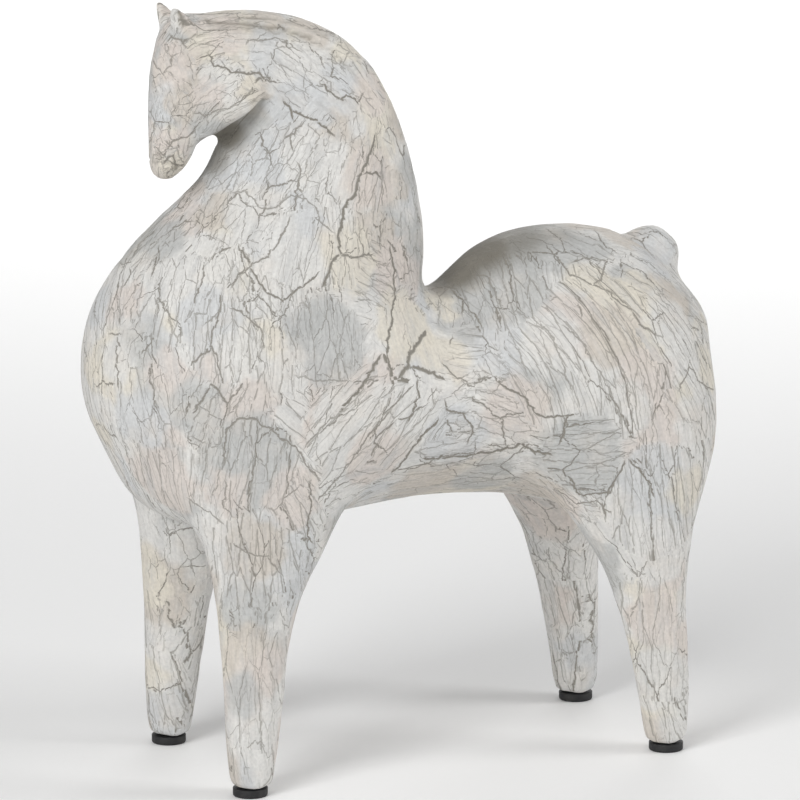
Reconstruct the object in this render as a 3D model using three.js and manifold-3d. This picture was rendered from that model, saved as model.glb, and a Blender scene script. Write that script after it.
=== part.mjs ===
// A table-top horse statue: one solid casting, finished in white crackle paint,
// standing on four glued foot pads.
// Millimetres, +Z up. The horse faces -X, its left side is at -Y, and Y = 0 is its plane of symmetry.
// The origin is on the table, under the middle of the statue.
import * as THREE from "three";
import Module from "manifold-3d";
import { mergeVertices } from "three/addons/utils/BufferGeometryUtils.js";

// Driving dimensions
const STATUE_HEIGHT = 300; // table to ear tips
const PAD_DIAMETER = 13.4; // rubber foot pad
const PAD_THICKNESS = 3.2;
const PAD_BEVEL = 0.9; // worn lower edge of a pad
const PAD_SIDES = 24;
const GLUE_GAP = 0.3; // clearance between a pad and the sole above it
const SOLE_MARGIN = 1.6; // how far a sole stands out past its pad, all round
const SOLE_ROUNDING = 2.6; // radius of the edge between a sole and its leg
const SOLE_CUT = 0.5; // ground off each foot to make its sole flat

// The figure is drawn at this height, and its points and widths are shares of its own height.
const DRAWN_HEIGHT = 300;
const SCALE = STATUE_HEIGHT / DRAWN_HEIGHT;
const drawn = (length) => length * SCALE;
const SOLE_Z = PAD_THICKNESS + GLUE_GAP;
const SOLE_HALF = (PAD_DIAMETER / 2 + SOLE_MARGIN) / SCALE;

// Side outline of trunk and neck in the plane of symmetry, as [x, z]
const TRUNK_OUTLINE = [
  // crest of the neck, from the poll to the end of the mane
  [-93, 291], [-83, 295.1], [-67, 295.6], [-50, 292.6], [-36.8, 286.8], [-23.8, 276.5],
  [-13.5, 262], [-7, 247], [-2.2, 230], [0.8, 212], [1.8, 197], [-0.5, 189],
  // saddle, rump and buttocks
  [2.2, 182.7], [8, 182.7], [15, 188], [27.9, 197.4], [44, 202.6], [62, 203.2], [77, 201],
  [88.1, 197.7], [100, 188.5], [110.5, 178], [117.6, 168.5], [119, 157], [121.2, 143],
  [120.2, 126], [112.8, 107], [103, 94],
  // belly, from between the hind legs to between the front legs
  [88, 89], [60, 93.5], [30, 100.1], [0, 102.1], [-35, 98.8], [-65, 95], [-92, 97],
  // breast and throat
  [-114.4, 107], [-126, 126], [-135, 147], [-135.8, 166], [-131, 184], [-120.7, 200.6], [-106.6, 215],
  [-94.6, 226], [-85.8, 236.4], [-81.5, 247], [-76, 258],
  // hidden inside the head
  [-80, 272], [-89, 284],
];

// Half widths of trunk and neck at places in the side view,
// and how far in from the outline the side starts to round
const TRUNK_WIDTHS = [
  { at: [-90, 284], half: 10, edge: 10 },
  { at: [-70, 285], half: 10, edge: 14 },
  { at: [-72, 264], half: 12, edge: 16 },
  { at: [-50, 262], half: 18, edge: 24 },
  { at: [-35, 275], half: 10, edge: 18 },
  { at: [-12, 240], half: 12, edge: 22 },
  { at: [-40, 232], half: 31, edge: 36 },
  { at: [-76, 244], half: 11, edge: 16 },
  { at: [-4, 200], half: 20, edge: 26 },
  { at: [-60, 200], half: 45, edge: 44 },
  { at: [-105, 190], half: 44, edge: 44 },
  { at: [-85, 155], half: 54, edge: 50 },
  { at: [-30, 150], half: 50, edge: 44 },
  { at: [10, 140], half: 43, edge: 36 },
  { at: [60, 150], half: 55, edge: 48 },
  { at: [85, 140], half: 55, edge: 50 },
  { at: [100, 110], half: 50, edge: 40 },
];

// Side outline of the head, and its half widths
const HEAD_OUTLINE = [
  [-97.2, 294], [-105, 289], [-108, 279], [-109.7, 267], [-110.2, 254], [-110.1, 243],
  [-109.4, 235], [-103, 232.5], [-98, 235], [-94.8, 239.3], [-91.4, 245], [-85, 248.6],
  [-76, 251.5], [-67, 257.5], [-61, 267], [-61, 279], [-69.2, 287.7], [-84.1, 292],
];
const HEAD_WIDTHS = [
  { at: [-103, 237], half: 8, edge: 7 },
  { at: [-104, 248], half: 9.5, edge: 8 },
  { at: [-99, 260], half: 12.5, edge: 11 },
  { at: [-80, 263], half: 18, edge: 15 },
  { at: [-100, 276], half: 13.5, edge: 11 },
  { at: [-92, 287], half: 11.5, edge: 10 },
  { at: [-70, 282], half: 12, edge: 15 },
];

// A leg, from the sole up into the trunk: the middle and the half sizes of its oval section at each height
const FRONT_LEG = [
  { z: 0, x: -87.4, y: 43.2, rx: SOLE_HALF, ry: SOLE_HALF },
  { z: 8, x: -86.9, y: 43.1, rx: SOLE_HALF + 0.7, ry: SOLE_HALF + 0.6 },
  { z: 18, x: -86.6, y: 42.9, rx: 10.3, ry: 9.9 },
  { z: 37, x: -85.6, y: 42.2, rx: 11.8, ry: 11 },
  { z: 56, x: -84.5, y: 41.2, rx: 13.3, ry: 12.3 },
  { z: 75, x: -82.5, y: 39.3, rx: 16.7, ry: 14.8 },
  { z: 95, x: -77.8, y: 36, rx: 24.4, ry: 18.5 },
  { z: 120, x: -76, y: 32, rx: 34, ry: 22 },
  { z: 145, x: -76, y: 30, rx: 36, ry: 22 },
];
const HIND_LEG = [
  { z: 0, x: 87.6, y: 43, rx: SOLE_HALF, ry: SOLE_HALF },
  { z: 10, x: 87.4, y: 43, rx: SOLE_HALF + 0.9, ry: SOLE_HALF + 0.7 },
  { z: 20, x: 86.7, y: 42.9, rx: 10.3, ry: 9.9 },
  { z: 40, x: 84.7, y: 42.2, rx: 11.9, ry: 11.1 },
  { z: 59, x: 81.7, y: 41.2, rx: 14.1, ry: 12.7 },
  { z: 74, x: 79.7, y: 39.8, rx: 17.2, ry: 15 },
  { z: 92, x: 76.3, y: 37, rx: 25, ry: 18.5 },
  { z: 120, x: 73, y: 33, rx: 37, ry: 22 },
  { z: 145, x: 72, y: 31, rx: 37, ry: 22 },
];

// The docked tail: balls from the knob down the back of the rump
const TAIL = [
  { at: [96, 188], radius: 9.4 },
  { at: [100.2, 189.2], radius: 10.6 },
  { at: [104, 178], radius: 6 },
];

// The pricked ears: root and tip of one, and how far they are turned outwards
const EAR_ROOT = [-97, 7.4, 285];
const EAR_TIP = [-104.2, 8.2, DRAWN_HEIGHT];
const EAR_HALF_WIDTH = 6;
const EAR_HALF_DEPTH = 3.1;
const EAR_TURN = Math.PI / 4;
const EAR_SIDES = 12;
const EAR_RINGS = 6;

// How softly the forms flow into each other, and how closely the skin follows them
const BLEND_LEG = 16;
const BLEND_JAW = 5; // below the cheek, where the jaw overhangs the throat
const BLEND_CHEEK = 14; // above it, where head and neck are one
const JAW_Z = 248;
const CHEEK_Z = 268;
const BLEND_TAIL = 4;
const GRID_MARGIN = 14; // room that the grid leaves round the figure
const GRID_X = [
  { to: -112, step: 6 }, { to: -92, step: 5 }, { to: -74, step: 3.4 }, { to: -60, step: 5.4 },
  { to: -20, step: 10 }, { to: 20, step: 7.6 }, { to: 68, step: 11 }, { to: 112, step: 5.6 },
  { to: Infinity, step: 7 },
];
const GRID_Y = [
  { to: 20, step: 5 }, { to: 34, step: 7.5 }, { to: 56, step: 5.4 }, { to: Infinity, step: 7 },
];
const GRID_Z = [
  { to: 13, step: 4 }, { to: 170, step: 10.6 }, { to: 226, step: 8.4 }, { to: 240, step: 5 },
  { to: 256, step: 3.2 }, { to: Infinity, step: 5 },
];
const RELAX_ROUNDS = 4;

const WHITE_PAINT = new THREE.MeshStandardMaterial({ color: 0xd9d6d0, roughness: 0.72, metalness: 0 });
const BLACK_RUBBER = new THREE.MeshStandardMaterial({ color: 0x161616, roughness: 0.85, metalness: 0 });

// Smooth minimum of two distances
function blend(a, b, k) {
  const h = Math.max(k - Math.abs(a - b), 0) / k;
  return Math.min(a, b) - h * h * h * k / 6;
}

// Smooth maximum of two distances
function overlap(a, b, k) {
  return -blend(-a, -b, k);
}

// A closed outline as a signed distance in the side view, negative inside
function outlineDistance(outline) {
  const knots = outline.map(([x, z]) => new THREE.Vector3(x, 0, z));
  const curve = new THREE.CatmullRomCurve3(knots, true, "centripetal");
  const ring = curve.getPoints(outline.length * 4).slice(0, -1);
  return (x, z) => {
    let nearest = Infinity;
    let inside = false;
    for (let i = 0, j = ring.length - 1; i < ring.length; j = i++) {
      const a = ring[j];
      const b = ring[i];
      const ex = b.x - a.x;
      const ez = b.z - a.z;
      const t = Math.min(1, Math.max(0, ((x - a.x) * ex + (z - a.z) * ez) / (ex * ex + ez * ez)));
      const dx = x - a.x - t * ex;
      const dz = z - a.z - t * ez;
      nearest = Math.min(nearest, dx * dx + dz * dz);
      if (a.z > z !== b.z > z && x < a.x + ((z - a.z) * ex) / ez) inside = !inside;
    }
    return inside ? -Math.sqrt(nearest) : Math.sqrt(nearest);
  };
}

// Widths between the named places, as a smooth weighted mean
function widthAt(places, reach, x, z) {
  let sum = 0;
  let half = 0;
  let edge = 0;
  for (const place of places) {
    const d2 = (x - place.at[0]) ** 2 + (z - place.at[1]) ** 2 + reach * reach;
    const weight = 1 / (d2 * d2);
    sum += weight;
    half += weight * place.half;
    edge += weight * place.edge;
  }
  return { half: half / sum, edge: edge / sum };
}

// A form that is symmetrical about Y = 0, with a drawn side outline and a rounded side
function sideForm(outline, places, reach) {
  const distance = outlineDistance(outline);
  return (x, y, z) => {
    const { half, edge } = widthAt(places, reach, x, z);
    const inward = Math.max(0, 1 + distance(x, z) / edge);
    return ovalDistance(inward * edge, y, edge, half);
  };
}

// About the distance from a point to an oval of half sizes a and b
function ovalDistance(u, v, a, b) {
  const size = Math.hypot(u / a, v / b);
  const slope = Math.hypot(u / (a * a), v / (b * b));
  return slope < 1e-9 ? -Math.min(a, b) : ((size - 1) * size) / slope;
}

// Value between stations, on a smooth curve through them
function between(stations, z, key) {
  const last = stations.length - 1;
  if (z <= stations[0].z) return stations[0][key];
  if (z >= stations[last].z) return stations[last][key];
  let i = 0;
  while (stations[i + 1].z < z) i++;
  const a = stations[i];
  const b = stations[i + 1];
  const before = stations[Math.max(i - 1, 0)];
  const after = stations[Math.min(i + 2, last)];
  const span = b.z - a.z;
  const t = (z - a.z) / span;
  const slopeA = ((b[key] - before[key]) / (b.z - before.z)) * span;
  const slopeB = ((after[key] - a[key]) / (after.z - a.z)) * span;
  return (
    a[key] * (1 + 2 * t) * (1 - t) ** 2 + slopeA * t * (1 - t) ** 2 +
    b[key] * t * t * (3 - 2 * t) + slopeB * t * t * (t - 1)
  );
}

// Both legs of a pair, rounded at the sole and at the top end, which lies inside the trunk
function legPair(stations) {
  const top = stations[stations.length - 1].z;
  const sole = (SOLE_Z - SOLE_CUT) / SCALE;
  return (x, y, z) => {
    const side = Math.abs(y);
    const across = ovalDistance(
      x - between(stations, z, "x"),
      side - between(stations, z, "y"),
      between(stations, z, "rx"),
      between(stations, z, "ry"),
    );
    const footed = overlap(across, sole - z, SOLE_ROUNDING / SCALE);
    return overlap(footed, z - top, 30);
  };
}

// A string of balls joined by cones
function ballString(balls) {
  return (x, y, z) => {
    let nearest = Infinity;
    for (let i = 1; i < balls.length; i++) {
      const a = balls[i - 1];
      const b = balls[i];
      const ex = b.at[0] - a.at[0];
      const ez = b.at[1] - a.at[1];
      const along = ((x - a.at[0]) * ex + (z - a.at[1]) * ez) / (ex * ex + ez * ez);
      const t = Math.min(1, Math.max(0, along));
      const radius = a.radius + t * (b.radius - a.radius);
      nearest = Math.min(nearest, Math.hypot(x - a.at[0] - t * ex, y, z - a.at[1] - t * ez) - radius);
    }
    return nearest;
  };
}

// The whole casting except the ears, as one distance field in drawn millimetres
const trunk = sideForm(TRUNK_OUTLINE, TRUNK_WIDTHS, 30);
const head = sideForm(HEAD_OUTLINE, HEAD_WIDTHS, 12);
const frontLegs = legPair(FRONT_LEG);
const hindLegs = legPair(HIND_LEG);
const tail = ballString(TAIL);
function horse(x, y, z) {
  const body = blend(blend(trunk(x, y, z), frontLegs(x, y, z), BLEND_LEG), hindLegs(x, y, z), BLEND_LEG);
  const cheek = Math.min(1, Math.max(0, (z - JAW_Z) / (CHEEK_Z - JAW_Z)));
  const headed = blend(body, head(x, y, z), BLEND_JAW + cheek * (BLEND_CHEEK - BLEND_JAW));
  return blend(headed, tail(x, y, z), BLEND_TAIL);
}

// Grid lines from start until they pass the end, each zone with its own step
function gridLines(start, end, zones) {
  const lines = [start];
  for (const { to, step } of zones)
    while (lines[lines.length - 1] < Math.min(to, end)) lines.push(lines[lines.length - 1] + step);
  return lines;
}

// Closed skin of quads where the field is zero:
// one vertex in each crossed cell, one quad round each crossed edge
function skin(field, xs, ys, zs) {
  const counts = [xs.length, ys.length, zs.length];
  const stride = [1, counts[0], counts[0] * counts[1]];
  const values = new Float64Array(counts[0] * counts[1] * counts[2]);
  const eachNode = (visit) => {
    for (let k = 0; k < counts[2]; k++)
      for (let j = 0; j < counts[1]; j++)
        for (let i = 0; i < counts[0]; i++) visit([i, j, k], i + j * stride[1] + k * stride[2]);
  };
  const place = ([i, j, k]) => [xs[i], ys[j], zs[k]];
  eachNode((cell, n) => {
    values[n] = field(...place(cell));
  });

  const points = [];
  const pointOf = new Int32Array(values.length).fill(-1);
  const corners = [0, 1, 2, 3, 4, 5, 6, 7].map((c) => [c & 1, (c >> 1) & 1, (c >> 2) & 1]);
  eachNode((cell, n) => {
    if (cell.some((c, axis) => c + 1 >= counts[axis])) return;
    const sum = [0, 0, 0];
    let crossings = 0;
    for (const corner of corners)
      for (let axis = 0; axis < 3; axis++) {
        if (corner[axis]) continue;
        const a = n + corner[0] * stride[0] + corner[1] * stride[1] + corner[2] * stride[2];
        const b = a + stride[axis];
        if (values[a] < 0 === values[b] < 0) continue;
        const t = values[a] / (values[a] - values[b]);
        const start = place(cell.map((c, i) => c + corner[i]));
        const end = place(cell.map((c, i) => c + corner[i] + (i === axis ? 1 : 0)));
        for (let i = 0; i < 3; i++) sum[i] += start[i] + t * (end[i] - start[i]);
        crossings++;
      }
    if (!crossings) return;
    pointOf[n] = points.length;
    points.push(sum.map((s) => s / crossings));
  });

  const quads = [];
  eachNode((cell, n) => {
    for (let axis = 0; axis < 3; axis++) {
      const [u, v] = [(axis + 1) % 3, (axis + 2) % 3];
      if (!cell[u] || !cell[v] || cell[axis] + 1 >= counts[axis]) continue;
      const inside = values[n] < 0;
      if (inside === values[n + stride[axis]] < 0) continue;
      const ring = [n - stride[u] - stride[v], n - stride[v], n, n - stride[u]].map((c) => pointOf[c]);
      quads.push(inside ? ring : ring.reverse());
    }
  });
  return { points, quads };
}

// Moves a point along the field's slope until it lies on the surface
function settle(field, point) {
  const probe = 0.05;
  for (let round = 0; round < 4; round++) {
    const [x, y, z] = point;
    const value = field(x, y, z);
    const slope = [
      (field(x + probe, y, z) - field(x - probe, y, z)) / (2 * probe),
      (field(x, y + probe, z) - field(x, y - probe, z)) / (2 * probe),
      (field(x, y, z + probe) - field(x, y, z - probe)) / (2 * probe),
    ];
    const steep = slope[0] ** 2 + slope[1] ** 2 + slope[2] ** 2;
    const step = Math.max(-1, Math.min(1, value)) / Math.max(steep, 0.2);
    point = point.map((p, i) => p - slope[i] * step);
  }
  return point;
}

// Evens out the quads, then puts every point back on the surface
function relax(field, mesh) {
  const neighbours = mesh.points.map(() => new Set());
  for (const quad of mesh.quads)
    quad.forEach((p, i) => {
      neighbours[p].add(quad[(i + 1) % 4]);
      neighbours[p].add(quad[(i + 3) % 4]);
    });
  mesh.points = mesh.points.map((p) => settle(field, p));
  for (let round = 0; round < RELAX_ROUNDS; round++) {
    const middle = mesh.points.map((p, n) => {
      const near = [...neighbours[n]].map((m) => mesh.points[m]);
      return p.map((value, i) => (value + near.reduce((s, q) => s + q[i], 0) / near.length) / 2);
    });
    mesh.points = middle.map((p) => settle(field, p));
  }
  return mesh;
}

// Quads as a triangle geometry, each split along its shorter diagonal
function geometryOf({ points, quads }) {
  const apart = (a, b) => Math.hypot(...points[a].map((value, i) => value - points[b][i]));
  const index = quads.flatMap(([a, b, c, d]) =>
    apart(a, c) <= apart(b, d) ? [a, b, c, a, c, d] : [b, c, d, b, d, a],
  );
  return new THREE.BufferGeometry()
    .setAttribute("position", new THREE.Float32BufferAttribute(points.flat(), 3))
    .setIndex(index);
}

const wasm = await Module();
wasm.setup();

function solidOf(geometry) {
  const bare = geometry.clone();
  bare.deleteAttribute("normal");
  bare.deleteAttribute("uv");
  const merged = mergeVertices(bare, 1e-4);
  return new wasm.Manifold(
    new wasm.Mesh({
      numProp: 3,
      vertProperties: new Float32Array(merged.attributes.position.array),
      triVerts: new Uint32Array(merged.index.array),
    }),
  );
}

function geometryFrom(solid) {
  const { numProp, numVert, vertProperties, triVerts } = solid.getMesh();
  const positions = new Float32Array(numVert * 3);
  for (let i = 0; i < numVert; i++)
    positions.set(vertProperties.subarray(i * numProp, i * numProp + 3), i * 3);
  return new THREE.BufferGeometry()
    .setAttribute("position", new THREE.BufferAttribute(positions, 3))
    .setIndex(new THREE.BufferAttribute(new Uint32Array(triVerts), 1));
}

// A pricked ear: a leaf-shaped turned form, flattened, and stood from its root to its tip
function ear(side) {
  const root = new THREE.Vector3(EAR_ROOT[0], EAR_ROOT[1] * side, EAR_ROOT[2]);
  const tip = new THREE.Vector3(EAR_TIP[0], EAR_TIP[1] * side, EAR_TIP[2]);
  const length = root.distanceTo(tip);
  const profile = [new THREE.Vector2(0, 0)];
  for (let i = 0; i <= EAR_RINGS; i++) {
    const t = i / EAR_RINGS;
    profile.push(new THREE.Vector2((1 - t) ** 0.75 * (0.85 + 0.7 * t), t * length));
  }
  const leaf = new THREE.LatheGeometry(profile, EAR_SIDES).rotateX(Math.PI / 2);
  leaf.scale(EAR_HALF_DEPTH, EAR_HALF_WIDTH, 1);
  leaf.rotateZ(-EAR_TURN * side);
  const upright = new THREE.Vector3(0, 0, 1);
  leaf.applyQuaternion(new THREE.Quaternion().setFromUnitVectors(upright, tip.sub(root).normalize()));
  return leaf.translate(root.x, root.y, root.z);
}

// The casting: skinned, joined to its ears, and cut flat at the soles
function casting() {
  const drawnX = [...TRUNK_OUTLINE, ...HEAD_OUTLINE].map(([x]) => x);
  const drawnZ = [...TRUNK_OUTLINE, ...HEAD_OUTLINE].map(([, z]) => z);
  const widest = Math.max(...TRUNK_WIDTHS.map(({ half }) => half));
  const xs = gridLines(Math.min(...drawnX) - GRID_MARGIN, Math.max(...drawnX) + GRID_MARGIN, GRID_X);
  const halfYs = gridLines(0, widest + GRID_MARGIN, GRID_Y);
  const ys = [...halfYs.slice(1).map((y) => -y).reverse(), ...halfYs];
  const zs = gridLines(-8, Math.max(...drawnZ) + GRID_MARGIN, GRID_Z);
  const body = geometryOf(relax(horse, skin(horse, xs, ys, zs)));
  body.scale(SCALE, SCALE, SCALE);
  let solid = solidOf(body);
  for (const side of [1, -1]) solid = solid.add(solidOf(ear(side).scale(SCALE, SCALE, SCALE)));
  const waste = new THREE.BoxGeometry(STATUE_HEIGHT * 2, STATUE_HEIGHT * 2, SOLE_Z * 2);
  return solid.subtract(solidOf(waste));
}

// A round rubber pad with its lower edge worn round
function pad() {
  const radius = PAD_DIAMETER / 2;
  const bevel = [];
  for (let i = 0; i <= 2; i++) {
    const angle = (Math.PI / 2) * (i / 2);
    bevel.push(new THREE.Vector2(
      radius - PAD_BEVEL + PAD_BEVEL * Math.sin(angle),
      PAD_BEVEL - PAD_BEVEL * Math.cos(angle),
    ));
  }
  const top = [new THREE.Vector2(radius, PAD_THICKNESS), new THREE.Vector2(0, PAD_THICKNESS)];
  const profile = [new THREE.Vector2(0, 0), ...bevel, ...top];
  return new THREE.LatheGeometry(profile, PAD_SIDES).rotateX(Math.PI / 2);
}

const statue = new THREE.Group();
const body = new THREE.Mesh(geometryFrom(casting()), WHITE_PAINT);
body.name = "horse_casting";
statue.add(body);

for (const [end, leg] of [["front", FRONT_LEG], ["hind", HIND_LEG]])
  for (const [side, sign] of [["left", -1], ["right", 1]]) {
    const foot = new THREE.Mesh(pad(), BLACK_RUBBER);
    foot.name = `foot_pad_${end}_${side}`;
    foot.position.set(drawn(leg[0].x), sign * drawn(leg[0].y), 0);
    statue.add(foot);
  }

// The origin goes under the middle of the statue's length
const bounds = new THREE.Box3().setFromObject(statue);
for (const piece of statue.children) piece.position.x -= (bounds.min.x + bounds.max.x) / 2;

export default statue;
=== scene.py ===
import math
import random

import bpy
import numpy as np
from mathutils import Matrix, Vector, noise
from mathutils.bvhtree import BVHTree


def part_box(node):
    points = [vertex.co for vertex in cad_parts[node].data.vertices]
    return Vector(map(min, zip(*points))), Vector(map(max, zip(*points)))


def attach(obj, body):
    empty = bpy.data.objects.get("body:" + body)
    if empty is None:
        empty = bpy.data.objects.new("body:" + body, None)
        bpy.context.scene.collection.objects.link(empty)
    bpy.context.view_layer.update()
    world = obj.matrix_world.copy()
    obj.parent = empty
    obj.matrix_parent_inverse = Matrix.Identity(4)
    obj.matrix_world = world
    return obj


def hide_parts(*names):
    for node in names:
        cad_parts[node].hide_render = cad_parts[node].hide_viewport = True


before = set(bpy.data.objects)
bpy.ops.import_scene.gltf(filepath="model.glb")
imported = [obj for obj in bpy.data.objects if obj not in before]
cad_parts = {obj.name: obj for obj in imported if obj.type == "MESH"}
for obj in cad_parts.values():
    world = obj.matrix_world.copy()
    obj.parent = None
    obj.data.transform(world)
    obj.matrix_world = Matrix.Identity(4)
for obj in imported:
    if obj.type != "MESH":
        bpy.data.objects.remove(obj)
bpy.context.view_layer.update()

# The horse is one hollow casting with its ears, mane and docked tail, rubbed smooth by hand.
# It is painted in overlapping strokes of off-white, grey, pink and cream over a crackle coat,
# which has split them and shows the taupe ground between.
MM = 0.001
SKIN_MESH = 1.6             # mm between the points of the skin
HEAD_START = (-55, 228)     # x and z in mm

# Places are given in mm, or as pixels of the photograph, whose camera was worked out from the
# four feet: it stands ahead of the left side and a little above, and looks at TARGET
TARGET = Vector((0.0003, 0, 0.139))
AZIMUTH = math.radians(-22.9)
ELEVATION = math.radians(12.1)
DISTANCE = 2.8
LENS = 325.2
SENSOR = 36
PHOTO = 800
to_camera = Vector((
    math.sin(AZIMUTH) * math.cos(ELEVATION), -math.cos(AZIMUTH) * math.cos(ELEVATION), math.sin(ELEVATION),
))
camera_turn = (-to_camera).to_track_quat("-Z", "Y")

# Lines of the carving on the left side, as (x, z) in mm; the right side is carved the same
CREST = [(-84, 292.5), (-60, 295.6), (-42, 292.6), (-29, 286.8), (-16, 276.5), (-6, 262),
         (0.5, 247), (5.3, 230), (8.3, 212), (9.3, 197), (7, 189)]
MANE_EDGE = [(-83, 293), (-74, 292), (-60, 290), (-52, 288), (-43, 285), (-34, 281), (-22, 270),
             (-17, 263), (-14, 254), (-11, 243), (-11, 226), (-10, 213), (-8, 201), (-3, 192)]
JAW_LINE = [(-86, 249), (-79, 251), (-74, 255), (-69, 258), (-66, 261), (-62, 265)]
EYE = (-94.5, 281)
NOSTRIL = (-101, 243)
EAR_FRONT = -89.5     # x, at the foot
EAR_FOOT = 285        # z
EAR_TIP = 301         # z
EAR_SLOPE = 0.48
TAIL_TIP = (105, 0, 200)
# How far the carving stands out, is cut in and reaches, in mm
MANE_STEP = [0.7, 1.1, 1.2, 0.9, 0.7, 0.2]      # along the edge, from the poll to the notch
MANE_VALLEY = 12
JAW_UNDERCUT = 2.2
JAW_FULLNESS = 0.7
EYE_RADIUS = 4
EYE_FULLNESS = 0.8
LID_DEPTH = 0.5
NOSTRIL_RADIUS = 2.2
NOSTRIL_DEPTH = 0.8
EAR_SPREAD = 3
EAR_RISE = 1.4
TAIL_RADIUS = 11
TAIL_FULLNESS = 1.8
UNEVENNESS = 0.35
# How much shade is painted along the mane's edge, in the throat under the jaw and in the nostril pit
MANE_SHADE = 0.25
THROAT_SHADE = 0.6
NOSTRIL_SHADE = 0.5
# Grooves: the line, the half width and depth in mm, and how much shade is painted in them
GROOVES = [
    ([(-106, 206), (-111, 195), (-114, 181), (-115, 163), (-113, 150)], 6.5, 0.7, 0.0),
    ([(-102, 240), (-99, 240.5), (-96, 240), (-93, 238.5)], 1.2, 0.6, 0.45),
    ([(-94.2, 297), (-93.3, 295), (-92.6, 292.5)], 1.3, 0.5, 0.9),
    ([(-97, 290), (-93, 286.5), (-88, 289.5)], 1.4, 0.35, 0.15),
    ([(-95, 286), (-98, 283), (-97, 280)], 1.2, 0.45, 0.2),
    ([(-83, 294), (-69, 292.5), (-52, 289.5), (-40, 285)], 1.7, 0.55, 0.7),
    ([(-72, 294.5), (-56, 293), (-44, 290), (-33, 285)], 1.6, 0.4, 0.35),
    ([(-43, 286), (-32, 280), (-23, 271), (-16, 262)], 1.7, 0.4, 0.3),
    ([(94, 200), (100, 193), (110, 186)], 5.0, 0.7, 0.0),
]
# Painted shade: the throat under the jaw, the shadow that the neck casts on the front of the rump,
# and small dark spots at the mouth, the poll and the end of the mane: x, y, z and radius in mm, and how
# much
SHADE_SPOTS = [
    (-73, 4, 250, 13, 0.95), (-77, 2, 240, 11, 0.75), (-80, 1, 228, 9, 0.35), (-68, 12, 255, 6, 0.6),
    (16, 4, 183, 12, 0.6), (25, 4, 188, 17, 0.95), (35, 4, 194, 20, 0.95), (47, 5, 198, 21, 0.7),
    (60, 6, 201, 19, 0.4), (-95, 7, 238.5, 2, 0.8), (-83, 6, 293.5, 2.5, 0.6), (7, 3, 189, 3, 0.6),
]


def smooth(low, high, value):
    """Eases from 0 at low to 1 at high."""
    share = np.clip((value - low) / (high - low), 0, 1)
    return share * share * (3 - 2 * share)


def to_line(places, line):
    """How far each place is from a line of points, and how far along the line that is."""
    near = np.full(len(places), np.inf)
    along = np.zeros(len(places))
    start = 0
    for a, b in zip(line[:-1], line[1:]):
        length = np.linalg.norm(b - a)
        share = np.clip((places - a) @ (b - a) / length**2, 0, 1)
        away = np.linalg.norm(places - a - share[:, None] * (b - a), axis=1)
        nearer = away < near
        near[nearer] = away[nearer]
        along[nearer] = start + share[nearer] * length
        start += length
    return near, along


bpy.ops.object.select_all(action="DESELECT")
horse = bpy.data.objects.new("horse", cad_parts["horse_casting"].data.copy())
bpy.context.scene.collection.objects.link(horse)
horse.data.name = "horse"
horse.data.materials.clear()
bpy.context.view_layer.objects.active = horse
horse.select_set(True)

# The casting's facets become one even, smooth skin
bpy.ops.object.mode_set(mode="EDIT")
bpy.ops.mesh.select_all(action="SELECT")
bpy.ops.mesh.remove_doubles(threshold=0.01 * MM)
bpy.ops.mesh.tris_convert_to_quads()
bpy.ops.object.mode_set(mode="OBJECT")
rounding = horse.modifiers.new("rounding", "SUBSURF")
rounding.levels = rounding.render_levels = 2
bpy.ops.object.modifier_apply(modifier="rounding")
skin = horse.modifiers.new("skin", "REMESH")
skin.mode = "VOXEL"
skin.voxel_size = SKIN_MESH * MM
bpy.ops.object.modifier_apply(modifier="skin")
rubbing = horse.modifiers.new("rubbing", "SMOOTH")
rubbing.factor = 0.5
rubbing.iterations = 3
bpy.ops.object.modifier_apply(modifier="rubbing")

# The head is modelled more finely than the rest
for polygon in horse.data.polygons:
    polygon.select = (
        polygon.center.x < HEAD_START[0] * MM and polygon.center.z > HEAD_START[1] * MM
    )
for part in (*horse.data.vertices, *horse.data.edges):
    part.select = False
bpy.context.tool_settings.mesh_select_mode = (False, False, True)
bpy.ops.object.mode_set(mode="EDIT")
bpy.ops.mesh.subdivide(number_cuts=1, smoothness=1)
bpy.ops.object.mode_set(mode="OBJECT")


def read(items, name):
    """One vector for each vertex or face, as the rows of an array."""
    rows = np.zeros(len(items) * 3)
    items.foreach_get(name, rows)
    return rows.reshape(-1, 3)


mesh = horse.data
places = read(mesh.vertices, "co") / MM
outward = read(mesh.vertices, "normal")
tree_of_skin = BVHTree.FromPolygons(places.tolist(), [tuple(face.vertices) for face in mesh.polygons])
on_left = places * [1, 0, 1] - np.abs(places) * [0, 1, 0]
dice = random.Random(7)


def stepped(line, spacing=4, jitter=0.0):
    """The line's points with others between them, each moved at random by up to the jitter."""
    points = []
    for a, b in zip(line, [*line[1:], line[-1]]):
        steps = max(1, round(math.dist(a, b) / spacing))
        for step in range(steps):
            points.append([
                a[i] + (b[i] - a[i]) * step / steps + dice.uniform(-jitter, jitter) for i in (0, 1)
            ])
    return points


def cast(start, ray, near):
    """Where the ray meets the skin or, if it misses, the place on the skin nearest to near."""
    return tree_of_skin.ray_cast(start, ray)[0] or tree_of_skin.find_nearest(near)[0]


def lay(line):
    """The line of (x, z) laid on the skin from the left, in mm."""
    left, inwards = -200, Vector((0, 1, 0))
    return np.array([cast(Vector((x, left, z)), inwards, Vector((x, 0, z))) for x, z in stepped(line)])


def seen(u, v):
    """The place on the skin, in mm, that shows at a pixel of the photograph."""
    ray = Vector((u - PHOTO / 2, PHOTO / 2 - v, -LENS * PHOTO / SENSOR)).normalized()
    ray.rotate(camera_turn)
    start = (TARGET + to_camera * DISTANCE) / MM
    return cast(start, ray, start + ray * DISTANCE / MM)


lift = np.zeros(len(places))
# How much shade is painted at each point of the skin
painted_shade = np.zeros(len(places))

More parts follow.
